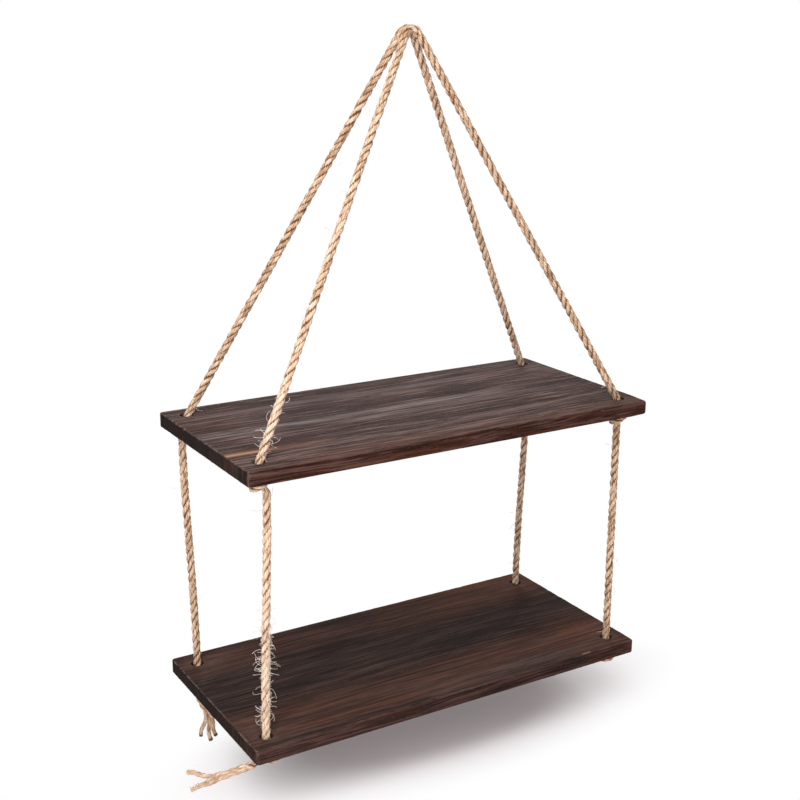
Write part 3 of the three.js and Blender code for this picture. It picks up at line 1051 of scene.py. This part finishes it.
def laid_strands(tree, inputs):
    """Copies of the line, one for each strand, each moved out onto its helix and twisted."""
    line_curve = tree.node("GeometryNodeMeshToCurve", {}, {"Mesh": inputs["Line"]})
    line_curve = tree.stored(line_curve, "rope_middle", tree.position(), "FLOAT_VECTOR")
    strands = tree.node("GeometryNodeDuplicateElements", {"domain": "SPLINE"},
                        {"Geometry": line_curve, "Amount": inputs["Strands"]})
    number = strands["Duplicate Index"]
    along = tree.named("along")
    wander = sum((along / length + number * WANDER_SHIFT).math("SINE") for length in WANDER_LENGTHS)
    angle = tree.named("phase") + number * (2 * math.pi) / inputs["Strands"] + wander * inputs["Wander"]
    side = tree.named("side", "FLOAT_VECTOR")
    other = tree.vector("CROSS_PRODUCT", tree.named("way", "FLOAT_VECTOR"), side)
    aside = tree.stretched(side, angle.math("COSINE"))
    out = tree.vector("ADD", aside, tree.stretched(other, angle.math("SINE")))
    offset = tree.stretched(out, inputs["Lay Radius"] * tree.named("thickness"))
    curves = tree.stored(strands["Geometry"], "strand_number", number)
    curves = tree.node("GeometryNodeSetPosition", {}, {"Geometry": curves, "Offset": offset})
    twist = along * (2 * math.pi) / inputs["Yarn Lay Length"]
    return tree.node("GeometryNodeSetCurveTilt", {}, {"Curve": curves, "Tilt": twist})


def yarn_profile(tree, ridge):
    """The outline of a strand, ridged by its yarns."""
    circle = tree.node("GeometryNodeCurvePrimitiveCircle", {}, {"Resolution": STRAND_SIDES, "Radius": 1.0})
    angle = tree.node("GeometryNodeSplineParameter")["Factor"] * (2 * math.pi)
    circle = tree.stored(circle, "round_angle", angle)
    ridged = 1.0 + ridge * (angle * YARNS).math("COSINE")
    place = tree.stretched(tree.position(), ridged)
    return tree.node("GeometryNodeSetPosition", {}, {"Geometry": circle, "Position": place})


def with_places(tree, tubes, inputs):
    """Stores where each point lies in its strand, and how far out of the rope."""
    radius = inputs["Strand Radius"]
    angle = tree.named("round_angle")
    along = tree.named("along") + tree.named("strand_number") * FIBRE_SHIFT
    place = tree.combined(radius * angle.math("COSINE"), radius * angle.math("SINE"), along)
    tubes = tree.stored(tubes, "strand_place", place, "FLOAT_VECTOR")
    middle = tree.named("rope_middle", "FLOAT_VECTOR")
    distance = tree.vector("DISTANCE", tree.position(), middle, output="Value")
    full_reach = (inputs["Lay Radius"] + radius) * tree.named("thickness")
    return tree.stored(tubes, "outward", distance / full_reach)


def rope_lay_tree():
    """Lays strands round a line: each strand is a ridged tube of yarns on a helix."""
    tree, inputs = new_group("rope_lay", {
        "Geometry": ("Line",),
        "Int": ("Strands",),
        "Float": ("Lay Radius", "Strand Radius", "Yarn Lay Length", "Yarn Ridge", "Swell", "Wander"),
        "Material": ("Finish",),
    })
    uneven = tree.noise(tree.position(), SWELL_SPACING) - 0.5
    plumpness = 1.0 + inputs["Swell"] * uneven
    tubes = tree.node("GeometryNodeCurveToMesh", {}, {
        "Curve": laid_strands(tree, inputs),
        "Profile Curve": yarn_profile(tree, inputs["Yarn Ridge"]),
        "Fill Caps": True,
        "Scale": inputs["Strand Radius"] * tree.named("thickness") * plumpness,
    })
    tubes = with_places(tree, tubes, inputs)
    face_points = tree.node("GeometryNodeInputMeshFaceNeighbors")["Vertex Count"]
    not_cap = face_points.math("LESS_THAN", STRAND_SIDES)
    tubes = tree.node("GeometryNodeSetShadeSmooth", {}, {"Geometry": tubes, "Shade Smooth": not_cap})
    return finish_group(tree, tubes, inputs["Finish"])


def hair_spots(tree, inputs):
    """Points on the outer side of the strands, more of them in clumps."""
    clumps = tree.ramp(tree.noise(tree.position(), CLUMP_SPACING, 1.0), *CLUMP_EDGES)
    return tree.node("GeometryNodeDistributePointsOnFaces", {"distribute_method": "RANDOM"}, {
        "Mesh": inputs["Rope"],
        "Selection": tree.named("outward").math("GREATER_THAN", HAIR_OUTWARD),
        "Density": inputs["Density"] * tree.named("fuzz") * clumps,
        "Seed": inputs["Seed"],
    })


def hair_turn(tree, normal, seed):
    """The turn of a hair: out of the strand, then leant and spun by chance."""
    outward = tree.node("FunctionNodeAlignRotationToVector", {"axis": "Y"}, {"Vector": normal})
    chance = tree.node("FunctionNodeRandomValue", {"data_type": "FLOAT_VECTOR"}, {
        "Min": tuple(-angle for angle in HAIR_TURN), "Max": HAIR_TURN, "Seed": seed,
    })
    spin = tree.node("FunctionNodeEulerToRotation", {}, {"Euler": chance})
    return tree.node("FunctionNodeRotateRotation", {"rotation_space": "LOCAL"},
                     {"Rotation": outward, "Rotate By": spin})


def fuzz_tree():
    """Strews curled hairs over a rope."""
    tree, inputs = new_group("rope_fuzz", {
        "Geometry": ("Rope",),
        "Int": ("Seed",),
        "Float": ("Density", "Hair Radius", "Hair Size"),
        "Material": ("Finish",),
    })
    spots = hair_spots(tree, inputs)
    curl = tree.node("GeometryNodeCurveSpiral", {}, HAIR_CURL)
    curl = tree.node("GeometryNodeTransform", {}, {"Geometry": curl, "Translation": HAIR_ROOT})
    size = inputs["Hair Size"]
    hairs = tree.node("GeometryNodeInstanceOnPoints", {}, {
        "Points": spots["Points"],
        "Instance": curl,
        "Rotation": hair_turn(tree, spots["Normal"], inputs["Seed"]),
        "Scale": tree.combined(size, size, size),
    })
    hairs = tree.node("GeometryNodeRealizeInstances", {}, {"Geometry": hairs})
    profile = tree.node("GeometryNodeCurvePrimitiveCircle", {}, {"Resolution": HAIR_SIDES, "Radius": 1.0})
    hairs = tree.node("GeometryNodeCurveToMesh", {}, {
        "Curve": hairs, "Profile Curve": profile, "Scale": inputs["Hair Radius"],
    })
    return finish_group(tree, hairs, inputs["Finish"])


def made_by(nodes, name, source, values):
    """A plain mesh object that a Geometry Nodes tree makes from a source object."""
    modifier = source.modifiers.new("make", "NODES")
    modifier.node_group = nodes
    sockets = nodes.interface.items_tree
    identifiers = {socket.name: socket.identifier for socket in sockets if socket.in_out == "INPUT"}
    for label, value in values.items():
        modifier[identifiers[label]] = value
    bpy.context.view_layer.update()
    graph = bpy.context.evaluated_depsgraph_get()
    mesh = bpy.data.meshes.new_from_object(source.evaluated_get(graph), depsgraph=graph)
    source.modifiers.remove(modifier)
    mesh.name = name
    return linked(name, mesh)


def line_object(points, attributes):
    """A line of points and edges that carries its attributes to the tree."""
    mesh = bpy.data.meshes.new("rope_line")
    edges = [(index, index + 1) for index in range(len(points) - 1)]
    mesh.from_pydata([tuple(point) for point in points], edges, [])
    for name, values in attributes.items():
        kind, field = ("FLOAT_VECTOR", "vector") if values.ndim == 2 else ("FLOAT", "value")
        layer = mesh.attributes.new(name, kind, "POINT")
        layer.data.foreach_set(field, values.astype(np.float32).ravel())
    return linked("rope_line", mesh)


# Laying the strands

def hair_below(heights, start, amount):
    """How hairy a rope is at each height: little at the top, and more below the start."""
    share = np.clip((start - heights) / HAIR_EASE, 0, 1)
    return LITTLE_HAIR + (amount - LITTLE_HAIR) * share


def clear_of_boards(heights):
    """1 where hairs have room, 0 where a rope passes through a board or is just over it."""
    clear = np.ones(len(heights))
    for top in (UPPER_TOP, LOWER_TOP):
        clear[(heights < top + HAIR_OVER_BOARD) & (heights > top - BOARD_THICKNESS)] = 0
    return clear


class Workshop:
    """The trees, finishes and seeds that the rope pieces share."""

    def __init__(self):
        self.lay_nodes = rope_lay_tree()
        self.fuzz_nodes = fuzz_tree()
        self.rope_finish = jute("twisted_jute")
        self.tail_finish = jute("frayed_jute")
        self.hair_finish = jute_hair("jute_hair")
        self.seed = HAIR_SEED

    def lay_strands(self, name, points, attributes, values):
        """Strands round a line of points."""
        source = line_object(points, attributes)
        values = {"Yarn Lay Length": YARN_LAY_LENGTH, "Swell": STRAND_SWELL, **values}
        made = made_by(self.lay_nodes, name, source, values)
        bpy.data.objects.remove(source)
        return made

    def lay_stretch(self, name, rope, first, last, hair=SHORT_PIECE_HAIR):
        """The strands of one stretch of a rope, between two points of its line."""
        part = rope.part(first, last)
        made = self.lay_strands(name, rope.points[part], {
            "side": rope.sides[part], "way": rope.ways[part], "phase": rope.phase[part],
            "along": rope.along[part], "thickness": rope.tucked_thickness(part),
            "paleness": rope.paleness[part] + HAIRY_PALENESS * hair,
            "fuzz": hair * clear_of_boards(rope.points[part, 2]),
        }, {
            "Strands": STRANDS, "Lay Radius": LAY_RADIUS, "Strand Radius": STRAND_RADIUS,
            "Yarn Ridge": YARN_RIDGE, "Wander": STRAND_WANDER, "Finish": self.rope_finish,
        })
        return made

    def lay_strand(self, name, points, along, sealed, paleness):
        """One strand of a tail, on its own line: as full as in the rope at its root, and a loose
        one fuller again and hairy at its tip."""
        ways, sides = carried_sides(points, SKEW_DIRECTION)
        near_root = np.clip(1 - along / TAIL_ROOT_EASE, 0, 1)
        near_tip = np.clip(1 - (along[-1] - along) / TIP_FRAY, 0, 1)
        if sealed.any():
            near_tip[:] = 0
        fuller = STRAND_RADIUS / STRAND_TAIL_RADIUS - 1
        made = self.lay_strands(name, points, {
            "side": sides, "way": ways, "phase": np.zeros(len(points)), "along": along,
            "thickness": 1 + TIP_SPREAD * near_tip + fuller * near_root,
            "fuzz": TAIL_HAIR + TIP_HAIR * near_tip,
            "sealed": sealed, "paleness": np.full(len(points), paleness),
        }, {
            "Strands": 1, "Lay Radius": 0.0, "Strand Radius": STRAND_TAIL_RADIUS,
            "Yarn Ridge": TAIL_YARN_RIDGE, "Wander": 0.0, "Finish": self.tail_finish,
        })
        return made

    def add_hair(self, rope_piece, kind, hair):
        """Short fluff or longer curls over a piece of rope."""
        self.seed += 1
        made = made_by(self.fuzz_nodes, f"{rope_piece.name}_{kind}", rope_piece, {
            "Density": hair["density"], "Seed": self.seed, "Hair Radius": hair["radius"],
            "Hair Size": hair["size"], "Finish": self.hair_finish,
        })
        return made


# Boards

def board_outline():
    """Points round the board, with the direction out of it at each, and how near it is to mid-corner."""
    half_x, half_y = BOARD_LENGTH / 2 - BOARD_CORNER_RADIUS, BOARD_WIDTH / 2 - BOARD_CORNER_RADIUS
    corners = ((1, -1, -math.pi / 2), (1, 1, 0), (-1, 1, math.pi / 2), (-1, -1, math.pi))
    arcs = []
    for side_x, side_y, start in corners:
        angles = np.linspace(start, start + math.pi / 2, CORNER_POINTS)
        outs = np.column_stack((np.cos(angles), np.sin(angles)))
        middle = np.array((side_x * half_x, side_y * half_y))
        arcs.append((middle + BOARD_CORNER_RADIUS * outs, outs, np.sin(2 * (angles - start))))
    points, outs, bends = [], [], []
    for (arc, arc_outs, arc_bends), (next_arc, next_outs, _) in zip(arcs, arcs[1:] + arcs[:1]):
        gap = next_arc[0] - arc[-1]
        count = int(np.linalg.norm(gap) / OUTLINE_STEP)
        share = np.arange(1, count)[:, None] / count
        points += [arc, arc[-1] + gap * share]
        outs += [arc_outs, np.tile(next_outs[0], (count - 1, 1))]
        bends += [arc_bends, np.zeros(count - 1)]
    return np.concatenate(points), np.concatenate(outs), np.concatenate(bends)


def arris_radius(point, layer, wear_shift, knock_depth):
    """How much the edge is rounded at a point: more where it is worn, chipped or knocked."""
    spot = Vector((point[0] * WEAR_SPACING + wear_shift, point[1] * WEAR_SPACING, layer))
    wear = (noise.noise(spot) + noise.noise(spot * FINE_WEAR)) / 2
    chip = max(0.0, noise.noise(spot * CHIP_SPACING + CHIP_SHIFT) - CHIP_START) / CHIP_EASE
    at_end = 1.0 if abs(point[0]) > BOARD_LENGTH / 2 - END_REACH else SIDE_WEAR
    knock = knock_depth * max(0.0, 1 - math.dist(point, KNOCKED_CORNER) / KNOCK_REACH)
    worn = ARRIS_ROUND + at_end * (ARRIS_WEAR * wear + CHIP_DEPTH * min(chip, 1.0)) + knock
    return min(DEEPEST_ARRIS, worn)


def arris_rings(outline, radii, face_z, inward):
    """Rings from the end of the worn band on a face to the side, each with how worn it looks."""
    points, outs, bends = outline
    band = np.minimum(radii + WEAR_BAND, DEEPEST_BAND)
    rings = [(np.column_stack((points - outs * band[:, None], np.full(len(points), face_z))), 0.0)]
    for degrees, amount in ARRIS_RINGS:
        angle = math.radians(degrees)
        inset = radii * (1 - math.sin(angle))
        drop = radii * (1 - math.cos(angle))
        ring = np.column_stack((points - outs * inset[:, None], face_z + inward * drop))
        rings.append((ring, np.maximum(amount, CORNER_WEAR * bends)))
    return rings


def ring_vertices(bm, wear_layer, ring, wear):
    made = []
    for point, amount in zip(ring, np.broadcast_to(wear, len(ring))):
        vertex = bm.verts.new(point)
        vertex[wear_layer] = amount
        made.append(vertex)
    return made


def bridge(bm, upper, lower):
    """Faces between two rings, facing out where the upper one comes first."""
    count = len(upper)
    for index in range(count):
        after = (index + 1) % count
        bm.faces.new((upper[index], lower[index], lower[after], upper[after])).smooth = True


def close_face(bm, loops, upward):
    """A flat face between the outline and the holes."""
    edges = []
    for loop in loops:
        for index, vertex in enumerate(loop):
            after = loop[(index + 1) % len(loop)]
            edges.append(bm.edges.get((vertex, after)) or bm.edges.new((vertex, after)))
    made = bmesh.ops.triangle_fill(bm, use_beauty=True, edges=edges)
    for face in made["geom"]:
        if isinstance(face, bmesh.types.BMFace):
            face.normal_update()
            if face.normal.z * upward < 0:
                face.normal_flip()


def plank(name, top, wear_shift, knock_depth, finish):
    """A board with worn arrises and four rope holes."""
    bottom = top - BOARD_THICKNESS
    outline = board_outline()
    arrises = []
    for layer, face_z, inward in ((TOP_LAYER, top, -1), (BOTTOM_LAYER, bottom, 1)):
        radii = np.array([arris_radius(point, layer, wear_shift, knock_depth) for point in outline[0]])
        arrises.append(arris_rings(outline, radii, face_z, inward))
    bm = bmesh.new()
    wear_layer = bm.verts.layers.float.new("wear")
    rings = [ring_vertices(bm, wear_layer, ring, wear) for ring, wear in arrises[0] + arrises[1][::-1]]
    for upper, lower in zip(rings, rings[1:]):
        bridge(bm, upper, lower)
    holes = [drill(bm, wear_layer, corner, top, bottom) for corner in CORNERS]
    close_face(bm, [rings[0]] + [hole[0] for hole in holes], 1)
    close_face(bm, [rings[-1]] + [hole[-1] for hole in holes], -1)
    mesh = bpy.data.meshes.new(name)
    bm.to_mesh(mesh)
    bm.free()
    mesh.materials.append(finish)
    mesh.set_sharp_from_angle(angle=SHARP_ANGLE)
    made = linked(name, mesh)
    return made


def drill(bm, wear_layer, corner, top, bottom):
    """The wall of one hole, its arrises eased, facing into the hole."""
    middle = np.array((corner["x"] * HOLE_X, corner["y"] * HOLE_Y))
    angles = np.linspace(0, 2 * math.pi, HOLE_POINTS, endpoint=False)
    circle = np.column_stack((np.cos(angles), np.sin(angles)))
    radius = HOLE_DIAMETER / 2
    levels = (
        (radius + HOLE_ARRIS, top, HOLE_RIM_WEAR),
        (radius + HOLE_EASE, top - HOLE_EASE, HOLE_ARRIS_WEAR),
        (radius, top - HOLE_ARRIS, 0.0),
        (radius, bottom + HOLE_ARRIS, 0.0),
        (radius + HOLE_ARRIS, bottom, HOLE_RIM_WEAR),
    )
    rings = []
    for reach, z, wear in levels:
        ring = np.column_stack((middle + reach * circle, np.full(HOLE_POINTS, z)))
        rings.append(ring_vertices(bm, wear_layer, ring, wear))
    for upper, lower in zip(rings, rings[1:]):
        bridge(bm, lower, upper)
    return rings


# Putting the shelf together

def hang_crown(workshop, rope, name):
    first = rope.index(-1, CROWN_HALF)
    last = rope.index(1, CROWN_HALF)
    piece = workshop.lay_stretch(f"{name}_crown_strands", rope, first, last)
    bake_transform(piece)
    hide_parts(f"{name}_crown")


def hang_sling(workshop, rope, corner):
    """The neck under the crown and the slanting rope down to the upper board."""
    side, name = corner["x"], corner["name"]
    crown_end = rope.index(side, CROWN_HALF)
    neck_end = rope.index(side, NECK_END)
    sling_end = rope.index(side, rope.marks[side]["slant_end"] - HOLE_TURN_UP + TURN_REACH)

    neck = workshop.lay_stretch(f"{name}_neck_strands", rope, crown_end, neck_end)
    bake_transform(neck)
    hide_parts(f"{name}_swing_neck")

    heights = rope.points[rope.part(neck_end, sling_end), 2]
    hair = hair_below(heights, SLING_HAIR_START, corner["sling_hair"])
    sling = workshop.lay_stretch(f"{name}_sling_strands", rope, neck_end, sling_end, hair)
    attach(sling, "upper_shelf")
    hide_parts(f"{name}_sling")
    for kind, hairs in (("fluff", FLUFF), ("curls", CURLS)):
        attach(workshop.add_hair(sling, kind, hairs), "upper_shelf")
    return sling_end


def hang_drop(workshop, rope, corner, pivot, foot):
    """The free rope between the boards, from just under its upper knot down into the lower board's hole.
    """
    name = corner["name"]
    pivot_z = rope.points[pivot][2]
    hair = hair_below(rope.points[rope.part(pivot, foot), 2], DROP_HAIR_START, corner["drop_hair"])
    drop = workshop.lay_stretch(f"{name}_drop_strands", rope, pivot, foot, hair)
    for kind, hairs in (("fluff", FLUFF), ("curls", CURLS)):
        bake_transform(workshop.add_hair(drop, kind, hairs))
    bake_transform(drop)
    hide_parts(f"{name}_drop_rope")


def hang_corner(workshop, rope, corner):
    """Everything at one corner, from the crown down to the tail."""
    side, name = corner["x"], corner["name"]
    marks = rope.marks[side]
    flex_start = rope.index(side, marks["upper_exit"])
    pivot = rope.index(side, marks["upper_pivot"])
    foot = rope.index(side, marks["lower_pivot"])
    knot_start = rope.index(side, marks["lower_knot"])
    tail_start = rope.index(side, marks["tail"])
    sling_end = hang_sling(workshop, rope, corner)

    knot = workshop.lay_stretch(f"{name}_upper_knot_strands", rope, sling_end, flex_start)
    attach(knot, "upper_shelf")
    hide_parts(f"{name}_upper_knot")
    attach(workshop.add_hair(knot, "fluff", FLUFF), "upper_shelf")

    pivot_z = rope.points[pivot][2]
    flex = workshop.lay_stretch(f"{name}_upper_flex_strands", rope, flex_start, pivot)
    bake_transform(flex)
    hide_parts(f"{name}_upper_flex")
    hang_drop(workshop, rope, corner, pivot, foot)

    foot_flex = workshop.lay_stretch(f"{name}_lower_flex_strands", rope, foot, knot_start)
    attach(foot_flex, "front_left_foot_flex" if name == "front_left" else "lower_shelf")
    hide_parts(f"{name}_lower_flex")

    lower = workshop.lay_stretch(f"{name}_lower_knot_strands", rope, knot_start, tail_start)
    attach(lower, "lower_shelf")
    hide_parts(f"{name}_lower_knot")
    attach(workshop.add_hair(lower, "fluff", FLUFF), "lower_shelf")
    fray_tail(workshop, rope, corner)


def laid_points(rope, trunk, strand):
    """One strand's middle line where it still lies in the rope."""
    angle = rope.phase[trunk] + 2 * math.pi * strand / STRANDS
    for wander_length in WANDER_LENGTHS:
        waver = rope.along[trunk] / wander_length + WANDER_SHIFT * strand
        angle = angle + STRAND_WANDER * np.sin(waver)
    other = np.cross(rope.ways[trunk], rope.sides[trunk])
    offset = np.cos(angle)[:, None] * rope.sides[trunk] + np.sin(angle)[:, None] * other
    return rope.points[trunk] + LAY_RADIUS * offset


def strand_roots(rope, trunk, across):
    """Three places round the end of the whole rope, in the order of the tips."""
    direction = unit(rope.points[trunk[-1]] - rope.points[trunk[-4]])
    upward = unit(np.cross(direction, across))
    angles = 2 * math.pi * np.arange(STRANDS)[:, None] / STRANDS
    return rope.points[trunk[-1]] + LAY_RADIUS * (np.cos(angles) * across + np.sin(angles) * upward)


def nearest_order(ends, roots):
    """Which root each strand's end is nearest to, taken together."""
    def distance(order):
        return sum(np.linalg.norm(end - roots[index]) for end, index in zip(ends, order))
    return min(itertools.permutations(range(STRANDS)), key=distance)


def strand_line(laid, tip):
    """A strand from the rope out to its tip, still crimped as it lay in the rope."""
    gap = np.linalg.norm(tip - laid[-1])
    way = unit(laid[-1] - laid[-3])
    leave = laid[-1] + SPREAD_LEAVE * gap * way
    arrive = tip - SPREAD_ARRIVE * gap * unit(tip - laid[-1] + SPREAD_BEND * gap * way)
    spread = bezier(laid[-1], leave, arrive, tip)
    bare = smoothed(np.concatenate((laid, spread[1:])), TAIL_SMOOTHING)
    points, along = resampled(bare)
    ways, sides = carried_sides(points, SKEW_DIRECTION)
    angle = 2 * math.pi * along / LAY_LENGTH
    crimp = STRAND_CRIMP * np.clip((along - lengths_along(laid)[-1]) / CRIMP_EASE, 0, 1)
    wave = np.cos(angle)[:, None] * sides + np.sin(angle)[:, None] * np.cross(ways, sides)
    return resampled(points + crimp[:, None] * wave)


def fray_tail(workshop, rope, corner):
    """The three strands of a tail: still laid together at first, then each on its own."""
    side, tail, name = corner["x"], corner["tail"], corner["name"]
    first = rope.index(side, rope.marks[side]["tail"])
    last = len(rope.points) - 1 if side > 0 else 0
    trunk = np.arange(first, last + side, side)
    laid = [laid_points(rope, trunk, strand) for strand in range(STRANDS)]
    roots = strand_roots(rope, trunk, np.array(tail["across"], dtype=float))
    order = nearest_order([points[-1] for points in laid], roots)
    lay = "hanging" if tail["sealed"] else "loose"
    for strand in range(STRANDS):
        tip = rope.points[first] + np.array(tail["tips"][order[strand]])
        points, along = strand_line(laid[strand], tip)
        from_seal = SEALED_LENGTH - along[-1] + along
        sealed = SEALED_SHARE * tail["sealed"] * np.clip(from_seal / SEALED_EASE, 0, 1)
        strand_name = f"{name}_tail_strand_{strand + 1}"
        # The tail strands take their corner's painted light and shade
        piece = workshop.lay_strand(strand_name, points, along, sealed, corner["paleness"])
        hair = workshop.add_hair(piece, "fluff", FLUFF)
        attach(piece, "lower_shelf")
        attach(hair, "lower_shelf")
        if strand == 0:
            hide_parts(f"{name}_tail")
        tuple(points[0])
        float(along[-1])


def hang_rope(workshop, end):
    """The front or the rear rope, over the hanging point and down both sides."""
    sides = {corner["x"]: corner for corner in CORNERS if corner["name"].startswith(end)}
    rope = Rope(sides[-1], sides[1])
    hang_crown(workshop, rope, f"{end}_rope")
    for corner in sides.values():
        hang_corner(workshop, rope, corner)


def lay_board(level, top, wear_shift, knock_depth):
    finish = stained_wood(f"{level}_board_stain", BOARD_STAINS[level])
    board = plank(f"{level}_board_plank", top, wear_shift, knock_depth, finish)
    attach(board, f"{level}_shelf")
    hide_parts(f"{level}_board")


place_camera()
workshop = Workshop()
hang_rope(workshop, "front")
hang_rope(workshop, "rear")
for board in BOARDS:
    lay_board(**board)
lay_floor()
light_scene()
bpy.context.scene.view_settings.view_transform = "Standard"
